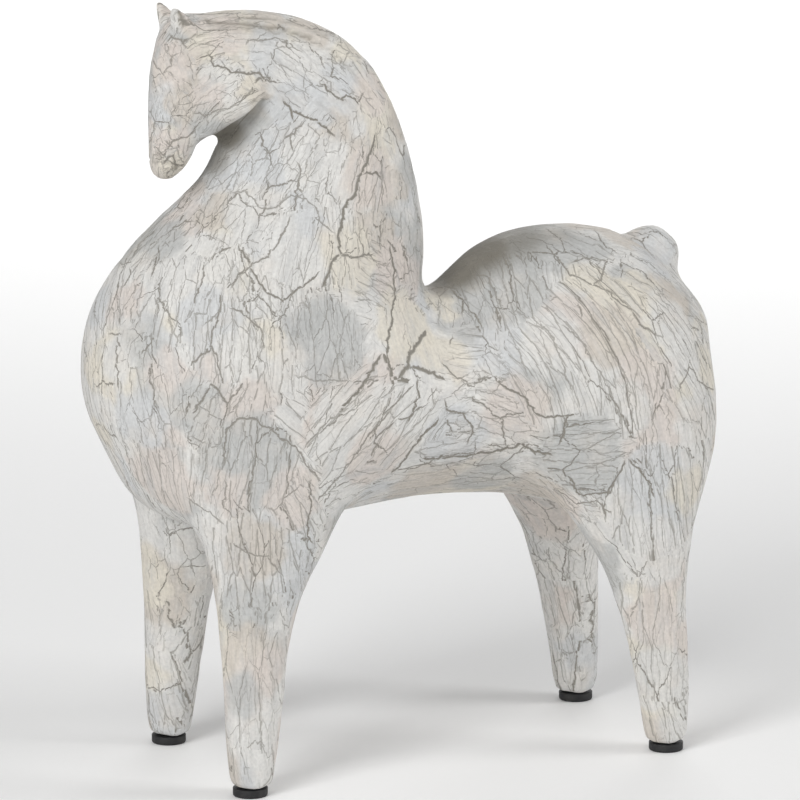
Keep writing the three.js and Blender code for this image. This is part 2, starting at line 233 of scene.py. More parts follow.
# The mane stands a little proud of the neck, with a soft valley outside its edge
crest = np.array([(x, 0, z) for x, z in CREST])
edge = lay(MANE_EDGE)
away, along = to_line(on_left, edge)
crest_away = to_line(on_left, crest)[0]
edge_along = to_line(edge, edge)[1]
outside = crest_away - np.interp(along, edge_along, to_line(edge, crest)[0])
step = np.interp(along, np.linspace(0, edge_along[-1], len(MANE_STEP)), MANE_STEP)
lift -= step * np.where(outside < 0, smooth(3, 0, away), smooth(MANE_VALLEY, 0, away))
# Shade is painted along the mane's edge near the poll
painted_shade += MANE_SHADE * smooth(3.5, 0, away) * smooth(60, 20, along)

# The jaw overhangs the throat
below = np.interp(on_left[:, 0], *np.array(JAW_LINE).T) - on_left[:, 2]
on_jaw = smooth(-88, -82, on_left[:, 0]) * smooth(-57, -66, on_left[:, 0]) * smooth(0, -5, on_left[:, 1])
lift -= JAW_UNDERCUT * on_jaw * smooth(-0.5, 3, below) * smooth(14, 4, below)
lift += JAW_FULLNESS * on_jaw * smooth(2, -1.5, below) * smooth(-10, -3, below)
# Shade is painted in the throat, under the overhanging jaw
painted_shade += THROAT_SHADE * on_jaw * smooth(-0.5, 2.5, below) * smooth(15, 4, below)

# The eye is a soft swelling and the nostril a pit
eye, nostril = (lay([spot])[0] for spot in (EYE, NOSTRIL))
eye_away = np.linalg.norm(on_left - eye, axis=1)
lift += EYE_FULLNESS * smooth(EYE_RADIUS, 0, eye_away)
lift -= LID_DEPTH * smooth(3, 0, np.abs(eye_away - EYE_RADIUS - 1))
pit = smooth(NOSTRIL_RADIUS, 0, np.linalg.norm(on_left - nostril, axis=1))
lift -= NOSTRIL_DEPTH * pit
# Shade is painted in the nostril pit
painted_shade += NOSTRIL_SHADE * pit

# Grooves are cut in, and shade is painted in them, in the hollows and where the neck's shadow falls on the
# rump
for line, half_width, depth, shade_share in GROOVES:
    groove = smooth(half_width, 0, to_line(on_left, lay(line))[0])
    lift -= depth * groove
    painted_shade = np.maximum(painted_shade, shade_share * groove**2)
for x, y, z, radius, shade_share in SHADE_SPOTS:
    spot = smooth(radius, 0.3 * radius, np.linalg.norm(on_left - [x, -y, z], axis=1))
    painted_shade = np.maximum(painted_shade, shade_share * spot)

# The docked tail is a knob that stands up from the rump
lift += TAIL_FULLNESS * smooth(TAIL_RADIUS, 3, np.linalg.norm(places - TAIL_TIP, axis=1))

# The ears stand up sharp, and spread towards the crest, more at the foot than at the tip
height = places[:, 2]
behind = places[:, 0] - EAR_FRONT + EAR_SLOPE * (height - EAR_FOOT)
spread = EAR_SPREAD * smooth(0, 5, behind) * smooth(18, 8, behind) * smooth(1.5, 5, np.abs(places[:, 1]))
spread = spread * smooth(EAR_FOOT - 3, EAR_FOOT + 3, height) * smooth(EAR_TIP, EAR_TIP - 10, height)
places[:, 0] += spread
places[:, 2] += EAR_RISE * smooth(EAR_FOOT + 2, EAR_TIP - 3, height) * smooth(-80, -88, places[:, 0])

# The whole surface but the soles keeps the slight unevenness of a hand-rubbed casting
uneven = np.array([
    noise.noise(Vector(place) / 22) + 0.4 * noise.noise(Vector(place) / 8) for place in places
])
lift += UNEVENNESS * uneven * smooth(4, 12, places[:, 2])
places += outward * lift[:, None]
mesh.vertices.foreach_set("co", (places * MM).ravel())
mesh.update()

# The paint was dabbed on in soft patches, scattered all over and then, on the left side, at the
# places listed here: x, z and radius in mm, and the tint
TINTS = {
    "white": (0.72, 0.71, 0.685), "cool": (0.62, 0.63, 0.635), "grey": (0.50, 0.505, 0.495),
    "pink": (0.675, 0.615, 0.57), "cream": (0.72, 0.675, 0.585), "beige": (0.60, 0.55, 0.49),
}
PATCHES = [
    (-98, 278, 9, "pink"), (-100, 262, 8, "cool"), (-92, 262, 8, "beige"), (-97, 247, 8, "pink"),
    (-97, 239, 5, "cream"), (-78, 272, 9, "white"), (-84, 265, 7, "pink"), (-84, 257, 6, "grey"),
    (-75, 288, 8, "pink"), (-58, 291, 9, "beige"), (-58, 281, 11, "cool"), (-38, 288, 8, "beige"),
    (-46, 272, 13, "white"), (-25, 277, 8, "cream"), (-30, 266, 10, "cool"), (-15, 262, 9, "pink"),
    (-4, 250, 8, "beige"), (0, 232, 7, "grey"), (-14, 245, 8, "cream"), (-48, 258, 13, "cool"),
    (-70, 250, 9, "grey"), (-72, 238, 10, "cool"), (-60, 238, 13, "cool"), (-45, 240, 13, "white"),
    (-88, 230, 8, "pink"), (-82, 222, 9, "beige"), (-68, 220, 14, "white"), (-100, 212, 10, "grey"),
    (-21, 231, 12, "pink"), (-20, 212, 10, "beige"), (-35, 203, 14, "cream"), (-12, 198, 9, "pink"),
    (0, 205, 8, "grey"), (-88, 205, 12, "white"), (-60, 200, 15, "white"), (-104, 196, 11, "white"),
    (-118, 190, 9, "pink"), (-117, 176, 10, "grey"), (-124, 168, 9, "white"), (-110, 166, 9, "pink"),
    (-95, 185, 13, "cool"), (-84, 172, 11, "white"), (-100, 152, 12, "grey"), (-118, 146, 12, "cool"),
    (-82, 152, 12, "pink"), (-48, 174, 17, "grey"), (-66, 165, 9, "white"), (-84, 132, 19, "grey"),
    (-92, 120, 9, "pink"), (-66, 118, 12, "pink"), (-45, 143, 14, "white"), (-30, 128, 13, "pink"),
    (-12, 176, 15, "cream"), (2, 162, 12, "cream"), (12, 178, 8, "cream"), (-8, 148, 14, "white"),
    # The beige and grey patches at x -2 and 22 low on the belly, and the grey one at x 55 on the flank,
    # are painted shade under the barrel
    (5, 134, 14, "cool"), (-2, 112, 15, "beige"), (22, 113, 13, "grey"), (18, 150, 10, "white"),
    (33, 185, 19, "grey"), (28, 164, 12, "cool"), (54, 198, 16, "grey"), (72, 198, 9, "grey"),
    (64, 188, 9, "cream"), (82, 182, 11, "cream"), (44, 166, 13, "white"), (68, 168, 13, "beige"),
    (30, 143, 13, "pink"), (80, 150, 14, "pink"), (95, 170, 12, "white"), (98, 190, 9, "cool"),
    (114, 150, 10, "cream"), (106, 130, 14, "white"), (68, 140, 13, "white"), (55, 122, 17, "grey"),
    (46, 106, 12, "beige"), (84, 110, 15, "cool"), (100, 105, 10, "cream"), (86, 82, 14, "white"),
    (84, 55, 12, "pink"), (88, 30, 14, "white"), (-82, 98, 13, "beige"), (-84, 76, 12, "grey"),
    (-83, 58, 12, "beige"), (-78, 50, 10, "pink"), (-84, 26, 12, "white"), (-86, 42, 8, "grey"),
    (106, 194, 9, "cool"),
]
SCATTERED_PATCHES = 320
PATCH_RADII = (7, 18)
PATCH_COVER = 0.85

tint = np.tile(TINTS["white"], (len(places), 1))
ragged = np.array([noise.noise(Vector(place) / 6) for place in places])
patches = [
    (places[dice.randrange(len(places))].copy(), dice.uniform(*PATCH_RADII), dice.choice(list(TINTS)))
    for pick in range(SCATTERED_PATCHES)
]
patches += [(lay([(x, z)])[0], radius, name) for x, z, radius, name in PATCHES]
for middle, radius, name in patches:
    away = np.linalg.norm(places - middle, axis=1)
    aside = 1 - outward @ outward[np.argmin(away)]
    covered = smooth(radius + 2, radius - 2.5, away + 4 * ragged) * smooth(1.0, 0.6, aside)
    tint += (np.array(TINTS[name]) - tint) * PATCH_COVER * covered[:, None]

# Each stroke of the crackle coat has its own direction, so its cracks run that way. Those on the
# left side: the pixel, the radius in mm, the direction in the photograph as steps right and down,
# how cracked, how long its cells, how bent per cm
STROKES = [
    ((235, 210), 17, (-0.42, 0.9), 0.8, 1.0, 0), ((290, 165), 17, (-0.45, 0.9), 0.9, 1.0, 0),
    ((290, 75), 13, (0.75, 0.6), 0.5, 1.0, 0), ((250, 45), 10, (1, 0.05), 0.4, 1.0, 0),
    ((300, 28), 7, (1, 0.3), 0.5, 1.6, 0), ((362, 78), 8, (0.6, 0.8), 0.3, 1.6, 0),
    ((396, 150), 8, (0.2, 1), 0.4, 1.0, 0), ((404, 220), 9, (0.1, 1), 0.3, 1.0, 0),
    ((215, 80), 9, (-0.7, 0.5), 0.2, 0.8, 0), ((168, 70), 11, (0.3, 1), 0.5, 0.7, 0),
    ((165, 120), 12, (-0.1, 1), 0.6, 0.7, 0), ((170, 160), 7, (0.6, -0.4), 1.3, 0.5, 0),
    ((225, 170), 10, (-0.5, 0.9), 0.9, 1.3, 0), ((368, 180), 13, (-0.2, 1), 0.5, 1.4, 0),
    ((105, 300), 17, (-0.15, 1), 0.8, 1.4, 0), ((180, 300), 19, (-0.15, 1), 0.9, 1.3, 0),
    ((150, 410), 17, (0.15, 1), 0.8, 1.3, 0), ((225, 340), 17, (0, 1), 1.1, 1.6, 0),
    ((345, 430), 18, (-0.62, 0.72), 1.0, 1.6, 0), ((325, 340), 17, (0.05, 1), 1.0, 1.3, 0),
    ((250, 465), 19, (-0.1, 1), 1.1, 1.6, 0), ((410, 340), 17, (0.3, 1), 0.2, 1.0, 0),
    ((450, 310), 10, (0.2, 1), 0.5, 1.0, 0), ((410, 430), 17, (-0.6, 0.8), 0.8, 1.6, 0),
    ((430, 475), 18, (1, -0.12), 0.8, 1.6, 0), ((510, 410), 15, (0.9, 0.25), 0.8, 1.0, 0),
    ((560, 240), 14, (0.95, 0.3), 0.3, 1.0, 0), ((595, 360), 34, (0.45, 0.9), 1.3, 2.6, -0.06),
    ((500, 290), 18, (0.35, 0.95), 1.1, 1.6, 0), ((670, 330), 15, (0.6, 0.8), 0.8, 2.0, 0),
    ((585, 455), 16, (1, -0.05), 1.2, 1.3, 0), ((660, 500), 23, (0.12, 1), 1.1, 2.4, 0),
    ((655, 640), 25, (0.05, 1), 0.8, 2.0, 0), ((255, 560), 19, (0.02, 1), 1.2, 2.0, 0),
    ((250, 690), 25, (0, 1), 0.8, 2.0, 0), ((655, 250), 9, (0.6, 0.5), 0.3, 1.0, 0),
]
# The general run of the strokes over the body, as x, z and degrees
RUN = [
    (-75, 285, 170), (-50, 288, -10), (-20, 268, -50), (-2, 235, -78), (0, 205, -88), (-45, 265, -165),
    (-35, 235, -118), (-90, 225, -127), (-102, 265, -95), (-122, 190, -105), (-95, 160, -92),
    (-84, 60, -90), (-20, 170, 53), (-10, 112, 8), (30, 108, 2), (28, 185, -66), (65, 175, -58),
    (95, 175, -45), (57, 125, 0), (112, 140, -82), (85, 100, -82), (88, 50, -88),
]
SCATTERED_STROKES = 420
STROKE_RADII = (10, 20)
STRAY = 14      # degrees that a scattered stroke turns from the run

faces = len(mesh.polygons)
centres = read(mesh.polygons, "center") / MM
facing = read(mesh.polygons, "normal")
guides = np.array(RUN, float)
run = np.radians(guides[:, 2])
strokes = []
for pick in range(SCATTERED_STROKES):
    middle = centres[dice.randrange(faces)]
    weight = 1 / (((guides[:, :2] - middle[[0, 2]]) ** 2).sum(1) + 30) ** 1.5
    radius = dice.uniform(*STROKE_RADII)
    turned = math.atan2(weight @ np.sin(run), weight @ np.cos(run)) + math.radians(dice.gauss(0, STRAY))
    brush = np.array([math.cos(turned), 0, math.sin(turned)])
    cracked = dice.choice([0.4, 0.7, 1.0, 1.2])
    stretch = dice.choice([1.0, 1.5, 2.2])
    strokes.append((middle, radius, brush, cracked, stretch, 0))
for (u, v), radius, (right, down), *rest in STROKES:
    brush = np.array(camera_turn @ Vector((right, -down, 0)))
    strokes.append((np.array(seen(u, v)), radius, brush, *rest))

# Each face belongs to the last stroke laid over it, or to the nearest one. The direction of a
# scattered stroke is pressed flat onto the skin, and that of a listed one as the camera sees it.
ragged = np.array([noise.noise(Vector(place) / 5) for place in centres])
owner = np.zeros(faces, int)
best = np.full(faces, np.inf)
frames = []
for number, (middle, radius, brush, *rest) in enumerate(strokes):
    away = np.linalg.norm(centres - middle, axis=1)
    normal = facing[np.argmin(away)]
    slant = normal if number < SCATTERED_STROKES else np.array(to_camera)
    brush -= slant * (brush @ normal) / (slant @ normal)
    brush /= np.linalg.norm(brush)
    frames.append((middle, brush, np.cross(normal, brush)))
    aside = 1 - facing @ normal
    covered = (away + 3 * ragged < radius) & (aside < 0.75)
    gap = away + 30 * aside
    bare = (gap < best) & ~covered
    owner[bare | covered] = number
    best[bare] = gap[bare]
    best[covered] = -1

# The crackle is laid out along and across each stroke, in centimetres, and is finer on the head
corner_place = np.zeros(len(mesh.loops), int)
mesh.loops.foreach_get("vertex_index", corner_place)
corner_face = np.repeat(np.arange(faces), [polygon.loop_total for polygon in mesh.polygons])
stroke = owner[corner_face]
middles, alongs, acrosses = (np.array(part) for part in zip(*frames))
shifts = np.array([[dice.uniform(0, 40), dice.uniform(0, 40)] for one in strokes])
crackings, stretches, bends = (np.array(amounts) for amounts in list(zip(*strokes))[3:])
fine = 1 + 0.6 * smooth(-50, -85, middles[:, 0]) * smooth(225, 245, middles[:, 2])
offset = (places[corner_place] - middles[stroke]) / 10
down = (offset * alongs[stroke]).sum(1)
over = (offset * acrosses[stroke]).sum(1) - bends[stroke] * down**2
brushed = np.stack([down / stretches[stroke], over], 1) * fine[stroke][:, None] + shifts[stroke]
mesh.uv_layers.new(name="brushed").data.foreach_set("uv", brushed.ravel())

# The boldest cracks on the left side, read from three enlarged parts of the photograph. For each
# part: its corner in the photograph, its scale, and its cracks as the half width in mm and points
BOLD_CRACKS = [
    ((140, 0), 3.6, [
        (0.35, [(105, 122), (158, 152), (190, 128)]),
        (0.40, [(245, 180), (268, 235), (300, 238), (330, 258), (385, 265), (425, 258), (437, 275),
            (400, 308)]),
        (0.30, [(375, 170), (395, 145), (490, 132), (540, 155), (590, 195)]),
        (0.30, [(218, 235), (200, 285)]),
        (0.30, [(250, 250), (243, 300)]),
        (0.30, [(180, 400), (230, 415), (300, 395), (350, 375), (420, 320)]),
        (0.25, [(180, 400), (215, 375), (260, 362)]),
        (0.30, [(50, 205), (60, 245), (85, 260), (110, 235), (115, 200), (150, 192)]),
        (0.30, [(98, 255), (125, 290)]),
        (0.45, [(510, 352), (545, 400), (590, 415), (645, 440), (710, 500)]),
        (0.25, [(645, 440), (690, 395)]),
        (0.40, [(640, 285), (690, 335), (725, 355), (745, 345), (790, 365), (815, 330)]),
        (0.35, [(790, 365), (805, 415)]),
        (0.35, [(600, 425), (545, 490), (550, 560)]),
        (0.35, [(555, 580), (575, 600), (570, 680), (590, 710)]),
        (0.60, [(855, 480), (835, 540), (800, 620), (770, 700), (740, 740), (725, 800), (715, 850),
            (720, 910), (690, 950), (652, 1045)]),
        (0.45, [(800, 625), (850, 620), (880, 650)]),
        (0.30, [(320, 700), (380, 690), (410, 720), (440, 750), (490, 745), (545, 700), (600, 720),
            (640, 760), (640, 790), (680, 825), (715, 850)]),
        (0.35, [(90, 850), (110, 825), (160, 800), (205, 790)]),
        (0.35, [(75, 895), (50, 960), (35, 1010)]),
        (0.40, [(715, 915), (760, 930), (800, 920), (850, 915)]),
        (0.40, [(75, 595), (90, 575), (115, 565), (130, 590), (150, 600)]),
        (0.30, [(130, 520), (140, 560), (162, 590)]),
        (0.35, [(85, 505), (110, 520), (135, 500), (170, 490), (200, 465), (218, 435)]),
    ]),
    ((80, 180), 3, [
        (0.50, [(930, 190), (940, 260), (945, 340), (930, 440), (920, 510), (940, 595)]),
        (1.10, [(905, 515), (930, 560), (940, 600), (990, 600)]),
        (0.80, [(945, 598), (985, 560), (990, 520), (1040, 450)]),
        (0.80, [(990, 560), (1050, 575), (1100, 600)]),
        (0.45, [(1010, 590), (1015, 650), (980, 740)]),
        (0.50, [(905, 520), (870, 580), (830, 640), (770, 700)]),
        (0.35, [(450, 330), (470, 290), (520, 250), (565, 230), (600, 180), (635, 100)]),
        (0.40, [(470, 185), (500, 240), (540, 310), (560, 340), (610, 360), (680, 310), (725, 270)]),
        (0.30, [(430, 370), (410, 400), (370, 440)]),
        (0.35, [(440, 380), (490, 400), (545, 450), (550, 520)]),
        (0.40, [(215, 295), (220, 240), (240, 190)]),
        (0.35, [(150, 255), (145, 300), (120, 330)]),
        (0.35, [(80, 460), (115, 465), (110, 530), (115, 640)]),
        (0.35, [(430, 870), (435, 760), (470, 715), (530, 720), (600, 770), (650, 800), (690, 870),
            (725, 900)]),
        (0.30, [(660, 815), (740, 730), (790, 680)]),
        (0.35, [(705, 975), (790, 870), (850, 790), (940, 680)]),
        (0.50, [(930, 890), (1000, 800), (1080, 710)]),
        (0.40, [(690, 890), (690, 980), (680, 1060), (700, 1090)]),
        (0.30, [(580, 1000), (620, 950), (670, 910)]),
        (0.35, [(960, 880), (1060, 840), (1120, 825), (1195, 815)]),
        (0.40, [(1090, 650), (1100, 690), (1150, 700), (1180, 745), (1160, 800)]),
        (0.25, [(640, 585), (700, 600), (760, 600), (820, 605)]),
        (0.30, [(440, 890), (430, 980), (470, 1020)]),
        (0.30, [(320, 950), (380, 990), (440, 1040)]),
        (0.30, [(450, 1080), (500, 1120), (560, 1130), (610, 1190)]),
    ]),
    ((420, 200), 3, [
        (0.60, [(0, 775), (90, 770), (150, 765), (215, 755), (275, 745), (310, 735), (340, 755),
            (400, 765)]),
        (0.40, [(215, 520), (250, 560), (320, 600), (350, 650), (440, 650), (435, 700), (410, 740)]),
        (0.35, [(520, 90), (550, 130), (600, 165)]),
        (0.35, [(375, 130), (410, 170), (440, 215), (510, 250), (560, 270), (600, 310), (650, 340)]),
        (0.35, [(445, 190), (490, 172), (560, 180), (545, 240), (515, 260)]),
        (0.25, [(570, 195), (640, 230), (690, 260), (740, 310), (780, 350)]),
        (0.28, [(350, 350), (400, 420), (430, 500), (460, 590)]),
        (0.30, [(420, 370), (480, 420), (530, 500), (580, 590), (610, 690)]),
        (0.22, [(330, 330), (370, 420), (400, 510)]),
        (0.35, [(475, 300), (490, 365)]),
        (0.40, [(620, 770), (600, 820), (560, 880), (480, 885), (440, 820)]),
        (0.35, [(770, 580), (810, 500), (850, 560), (885, 575)]),
        (0.40, [(95, 270), (130, 300), (130, 345)]),
        (0.35, [(100, 400), (90, 440)]),
        (0.40, [(620, 770), (690, 850), (705, 900)]),
        (0.30, [(150, 215), (205, 235), (225, 280), (250, 330)]),
        (0.35, [(400, 860), (470, 910), (530, 900), (580, 950)]),
        (0.35, [(60, 480), (90, 520), (160, 560), (215, 520)]),
        (0.24, [(500, 330), (560, 420), (620, 540), (640, 660), (665, 740)]),
        (0.22, [(560, 330), (620, 420), (680, 560), (700, 680), (690, 800)]),
        (0.20, [(620, 370), (690, 480), (740, 600), (750, 720)]),
        (0.25, [(250, 360), (290, 440), (330, 540)]),
        (0.25, [(700, 300), (760, 400), (800, 480)]),
    ]),
]
CRACK_STEP = 4.6        # pixels
CRACK_JITTER = 1.3      # pixels
CRACK_REACH = 2.3       # mm
NO_CRACK = (9.0, 0.0)   # mm away and mm of half width

# Each corner of the skin learns how far it lies from the nearest bold crack, and how wide that is
drawn = np.tile(NO_CRACK, (len(mesh.loops), 1))
nearest = np.full(faces, CRACK_REACH)
bold_cracks = [
    (half_width, [(corner[0] + u / scale, corner[1] + v / scale) for u, v in line])
    for corner, scale, group in BOLD_CRACKS for half_width, line in group
]
for half_width, line in bold_cracks:
    laid = np.array([seen(u, v) for u, v in stepped(line, CRACK_STEP, CRACK_JITTER)])
    lengths = np.linalg.norm(np.diff(laid, axis=0), axis=1)
    for a, b, length, start in zip(laid[:-1], laid[1:], lengths, np.cumsum(lengths) - lengths):
        if length == 0:
            continue
        away = to_line(centres, [a, b])[0]
        taken = away < nearest
        nearest[taken] = away[taken]
        corners = np.flatnonzero(taken[corner_face])
        heading = (b - a) / length
        offset = places[corner_place[corners]] - a
        across = (offset * np.cross(facing[corner_face[corners]], heading)).sum(1)
        along = offset @ heading + start
        drawn[corners, 0] = across
        drawn[corners, 1] = half_width * smooth(-0.5, 3, np.minimum(along, lengths.sum() - along))
mesh.uv_layers.new(name="drawn").data.foreach_set("uv", drawn.ravel())

shares = np.bincount(corner_place, minlength=len(places))
for name, amounts in (("cracking", crackings), ("stretch", stretches)):
    amount = np.bincount(corner_place, weights=amounts[stroke], minlength=len(places)) / shares
    mesh.attributes.new(name, "FLOAT", "POINT").data.foreach_set("value", amount)
# Each point keeps how much shade is painted on it
mesh.attributes.new("painted_shade", "FLOAT", "POINT").data.foreach_set("value", np.clip(painted_shade, 0, 1))
tint = np.concatenate([tint, np.ones((len(places), 1))], 1)
mesh.attributes.new("tint", "FLOAT_COLOR", "POINT").data.foreach_set("color", tint.ravel())
bpy.ops.object.shade_smooth()


def add_node(tree, kind, inputs=(), **settings):
    """A new node with its settings, and its sockets filled from values or other nodes' outputs."""
    node = tree.nodes.new(kind)
    for name, value in settings.items():
        setattr(node, name, value)
    for name, value in dict(inputs).items():
        socket = node.inputs[name]
        if isinstance(value, bpy.types.NodeSocket):
            tree.links.new(value, socket)
        else:
            socket.default_value = value
    return node


def maths(tree, operation, *values):
    inputs = dict(enumerate(values))
    return add_node(tree, "ShaderNodeMath", inputs, operation=operation).outputs[0]


def vector(tree, operation, *values, output="Vector"):
    inputs = dict(enumerate(values))
    return add_node(tree, "ShaderNodeVectorMath", inputs, operation=operation).outputs[output]


def mix(tree, factor, first, second, blend="MIX"):
    """A colour between the first and the second."""
    inputs = {0: factor, 6: first, 7: second}
    return add_node(tree, "ShaderNodeMix", inputs, data_type="RGBA", blend_type=blend).outputs[2]


def grade(tree, value, low, high, at_low, at_high, shape="LINEAR"):
    """The value brought from between low and high to between at_low and at_high."""
    return add_node(tree, "ShaderNodeMapRange", {
        "Value": value, "From Min": low, "From Max": high, "To Min": at_low, "To Max": at_high,
    }, interpolation_type=shape).outputs["Result"]


def flat_noise(tree, place, scale, detail=2.0, output="Fac"):
    return add_node(tree, "ShaderNodeTexNoise", {
        "Vector": place, "Scale": scale, "Detail": detail, "Roughness": 0.6,
    }, noise_dimensions="2D").outputs[output]


def solid_noise(tree, scale, detail):
    """Noise that runs through the whole piece."""
    place = add_node(tree, "ShaderNodeTexCoord").outputs["Object"]
    inputs = {"Vector": place, "Scale": scale, "Detail": detail}
    return add_node(tree, "ShaderNodeTexNoise", inputs).outputs["Fac"]


def new_material(name):
    """A material with its node tree and its shader."""
    material = bpy.data.materials.new(name)
    material.use_nodes = True
    return material, material.node_tree, material.node_tree.nodes["Principled BSDF"]


def add_bump(tree, height, distance, strength):
    inputs = {"Height": height, "Distance": distance, "Strength": strength}
    bump = add_node(tree, "ShaderNodeBump", inputs)
    tree.links.new(bump.outputs["Normal"], tree.nodes["Principled BSDF"].inputs["Normal"])


# Cracks as edges between long cells. The distance to an edge is found from the two nearest cell
# points, in real centimetres, so that a crack is as wide along the brush as across it.
cracks = bpy.data.node_groups.new("cracks", "ShaderNodeTree")
for name, kind in (
    ("Place", "NodeSocketVector"), ("Cell", "NodeSocketVector"), ("Sway", "NodeSocketVector"),
    ("Stretch", "NodeSocketFloat"), ("Half width", "NodeSocketFloat"),
    ("Patch scale", "NodeSocketFloat"), ("Share", "NodeSocketFloat"),
):
    cracks.interface.new_socket(name, in_out="INPUT", socket_type=kind)
cracks.interface.new_socket("Mask", in_out="OUTPUT", socket_type="NodeSocketFloat")
given = add_node(cracks, "NodeGroupInput").outputs
sway = flat_noise(cracks, given["Place"], 0.9, 5.0, "Color")
jags = add_node(cracks, "ShaderNodeTexVoronoi", {
    "Vector": given["Place"], "Scale": 4.5,
}, voronoi_dimensions="2D").outputs["Color"]
bent = vector(cracks, "MULTIPLY_ADD", sway, given["Sway"], given["Place"])
bent = vector(cracks, "MULTIPLY_ADD", jags, (0.1, 0.1, 0), bent)
cell_place = vector(cracks, "DIVIDE", bent, given["Cell"])
nearest, second = (
    add_node(cracks, "ShaderNodeTexVoronoi", {
        "Vector": cell_place, "Scale": 1.0,
    }, voronoi_dimensions="2D", feature=feature).outputs
    for feature in ("F1", "F2")
)
stretching = add_node(cracks, "ShaderNodeCombineXYZ", {"X": given["Stretch"], "Y": 1.0, "Z": 1.0})
real_cell = vector(cracks, "MULTIPLY", given["Cell"], stretching.outputs[0])
apart = vector(cracks, "SUBTRACT", second["Position"], nearest["Position"])
steepness = vector(cracks, "LENGTH", vector(cracks, "DIVIDE", apart, real_cell), output="Value")
squares = maths(
    cracks, "SUBTRACT",
    maths(cracks, "POWER", second["Distance"], 2.0), maths(cracks, "POWER", nearest["Distance"], 2.0),
)
edge_away = maths(cracks, "DIVIDE", maths(cracks, "MULTIPLY", squares, 0.5), steepness)
patchy = maths(cracks, "ADD", flat_noise(cracks, given["Place"], given["Patch scale"]), given["Share"])
opened = grade(cracks, patchy, 0.85, 1.2, 0.0, 1.0)
wide = maths(cracks, "MULTIPLY", opened, given["Half width"])
mask = grade(
    cracks, edge_away, maths(cracks, "MULTIPLY", wide, 0.3),
    maths(cracks, "MULTIPLY_ADD", wide, 1.6, 0.004), 1.0, 0.0, "SMOOTHSTEP",
)
faint = maths(cracks, "MINIMUM", maths(cracks, "MULTIPLY", opened, 2.5), 1.0)
add_node(cracks, "NodeGroupOutput", {"Mask": maths(cracks, "MULTIPLY", mask, faint)})

GREY_BANDS = (0.535, 0.535, 0.53, 1)
WARM_CLOUDS = (0.70, 0.645, 0.58, 1)
# The brown of the painted shade, and how fully it covers
SHADE_COLOUR = (0.15, 0.135, 0.105, 1)
SHADE_COVER = 0.92
CRACK = (0.235, 0.22, 0.19, 1)

paint, tree, shader = new_material("crackle_paint")
place = add_node(tree, "ShaderNodeUVMap", uv_map="brushed").outputs["UV"]
drawn_place = add_node(tree, "ShaderNodeUVMap", uv_map="drawn").outputs["UV"]
body_place = add_node(tree, "ShaderNodeTexCoord").outputs["Object"]
tinted = add_node(tree, "ShaderNodeAttribute", attribute_name="tint").outputs["Color"]
cracked, stretched, shade_amount = (
    add_node(tree, "ShaderNodeAttribute", attribute_name=name).outputs["Fac"]
    for name in ("cracking", "stretch", "painted_shade")
)


def crack_layer(cell, sway, half_width, patch_scale, more_where_cracked, share):
    """One size of cracks: cell length and width, sideways sway and half width in centimetres."""
    return add_node(tree, "ShaderNodeGroup", {
        "Place": place, "Cell": (*cell, 1), "Sway": (*sway, 0), "Half width": half_width,
        "Stretch": stretched, "Patch scale": patch_scale,
        "Share": maths(tree, "MULTIPLY_ADD", cracked, more_where_cracked, share),
    }, node_tree=cracks).outputs["Mask"]


# On the left side most of the bold cracks are the drawn ones, so the cells add fewer there
across_body = add_node(tree, "ShaderNodeSeparateXYZ", {"Vector": body_place}).outputs["Y"]
undrawn = grade(tree, across_body, -0.012, 0.0, 0.42, 0.52)
bold = crack_layer(
    cell=(2.4, 1.3), sway=(0.6, 0.6), half_width=0.036, patch_scale=0.3,
    more_where_cracked=0.1, share=undrawn,
)
middling = crack_layer(
    cell=(1.5, 0.52), sway=(0.45, 0.3), half_width=0.023, patch_scale=0.45,
    more_where_cracked=0.32, share=0.33,
)
hairline = crack_layer(
    cell=(1.0, 0.27), sway=(0.35, 0.18), half_width=0.013, patch_scale=0.7,
    more_where_cracked=0.42, share=0.18,
)

# A drawn crack wavers and changes width along its way, and a narrow one is fainter
away, half_width = (
    add_node(tree, "ShaderNodeSeparateXYZ", {"Vector": drawn_place}).outputs[axis] for axis in "XY"
)
jag = solid_noise(tree, 700.0, 3.0)
away = maths(tree, "ABSOLUTE", maths(tree, "ADD", away, grade(tree, jag, 0.3, 0.7, -0.3, 0.3)))
faint = maths(tree, "MINIMUM", maths(tree, "MULTIPLY", half_width, 2.4), 1.0)
half_width = maths(tree, "MULTIPLY", half_width, grade(tree, jag, 0.35, 0.65, 1.2, 0.7))
inner = maths(tree, "MULTIPLY", half_width, 0.4)
outer = maths(tree, "MULTIPLY_ADD", half_width, 1.5, 0.03)
split = maths(tree, "MULTIPLY", grade(tree, away, inner, outer, 1.0, 0.0, "SMOOTHSTEP"), faint)
for layer, darkness in ((bold, 0.9), (middling, 0.62), (hairline, 0.36)):
    split = maths(tree, "MAXIMUM", split, maths(tree, "MULTIPLY", layer, darkness))

# The paint has streaks along the brush, greyer bands, warmer clouds and a fine grain. Its cracks,
# streaks and grain also stand in relief.
streaks = flat_noise(tree, vector(tree, "MULTIPLY", place, (1.6, 8.0, 1.0)), 1.0, 5.0)
bands = flat_noise(tree, vector(tree, "MULTIPLY", place, (0.5, 1.8, 1.0)), 1.0, 5.0)
clouds = solid_noise(tree, 75.0, 6.0)
grain = solid_noise(tree, 850.0, 4.0)
coat = mix(tree, grade(tree, bands, 0.48, 0.75, 0.0, 0.6), tinted, GREY_BANDS)
coat = mix(tree, grade(tree, clouds, 0.5, 0.75, 0.0, 0.5), coat, WARM_CLOUDS)
coat = mix(tree, 1.0, coat, grade(tree, streaks, 0.25, 0.75, 0.87, 1.05), "MULTIPLY")
coat = mix(tree, 1.0, coat, grade(tree, grain, 0.3, 0.7, 0.92, 1.07), "MULTIPLY")
